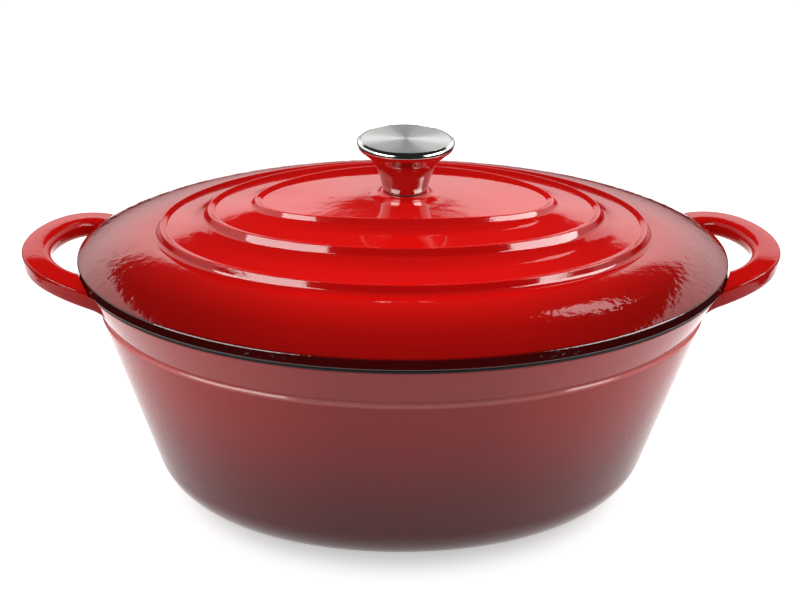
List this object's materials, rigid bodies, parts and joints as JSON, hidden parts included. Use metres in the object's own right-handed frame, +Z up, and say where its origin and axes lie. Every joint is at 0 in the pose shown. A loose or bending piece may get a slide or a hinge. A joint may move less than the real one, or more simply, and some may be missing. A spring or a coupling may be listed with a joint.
{
  "type": "dutch oven",
  "caption": "Oval enamelled cast iron dutch oven with a domed, ringed lift-off lid, a round metal knob and loop handles at both ends.",
  "frame": {"origin": "on the floor under the middle of the pot, the bottom centre of the whole object's box", "axes": "+X along the pot's long axis towards the right-hand handle, +Z up through the knob"},
  "size_m": [0.3848, 0.253, 0.1974],
  "materials": {
    "pot_enamel": "vitreous enamel, glossy, red at the rim shading to dark maroon at the base, cream inside, matte black rim",
    "handle_enamel": "vitreous enamel, glossy bright red",
    "lid_enamel": "vitreous enamel, glossy, bright red in the middle shading to near black at the edge, cream underneath",
    "polished_steel": "polished",
    "spun_steel": "spun brushed",
    "fastener_steel": "satin",
    "gasket_rubber": "matt"
  },
  "bodies": {
    "pot_body": {"pot": "pot_enamel", "handle_right": "handle_enamel", "handle_left": "handle_enamel"},
    "lid_body": {"lid": "lid_enamel", "knob_shell": "polished_steel", "knob_top_disc": "spun_steel", "knob_insert": "fastener_steel", "knob_gasket": "gasket_rubber", "knob_screw": "fastener_steel", "knob_flat_washer": "fastener_steel", "knob_spring_washer": "fastener_steel"}
  },
  "joints": [
    {"name": "lid_lift", "type": "slide", "parent": "pot_body", "child": "lid_body", "axis": [0, 0, 1], "range_m": [0, 0.18]}
  ]
}
